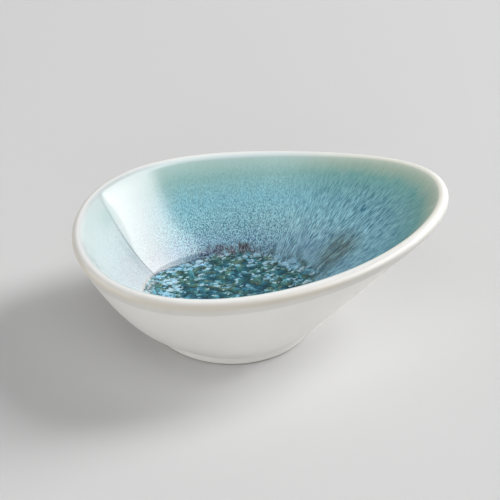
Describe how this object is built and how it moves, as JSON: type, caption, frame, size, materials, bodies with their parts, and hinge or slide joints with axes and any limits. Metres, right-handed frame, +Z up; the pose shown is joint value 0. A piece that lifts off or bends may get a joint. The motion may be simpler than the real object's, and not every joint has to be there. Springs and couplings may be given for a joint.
{
  "type": "dip bowl",
  "caption": "Small glazed stoneware dip bowl with an egg-shaped rim that rises to a narrow tip, on a round foot ring.",
  "frame": {"origin": "on the table, under the middle of the bowl's length and width", "axes": "+X runs along the length to the narrow, raised tip, +Z is up"},
  "size_m": [0.1249, 0.0904, 0.0457],
  "materials": {
    "fired_clay": "matt, bare, fine-grained",
    "cream_glaze": "gloss, warm white, tan where it thins",
    "blue_green_glaze": "gloss, sage green running into streaked blue",
    "pooled_glaze": "high gloss, flaked blue, teal and brown"
  },
  "bodies": {
    "root": {"clay_wall": "fired_clay", "foot_ring": "fired_clay", "outer_glaze": "cream_glaze", "lip_glaze": "cream_glaze", "base_glaze": "cream_glaze", "inner_glaze": "blue_green_glaze", "pool_glaze": "pooled_glaze"}
  },
  "joints": []
}
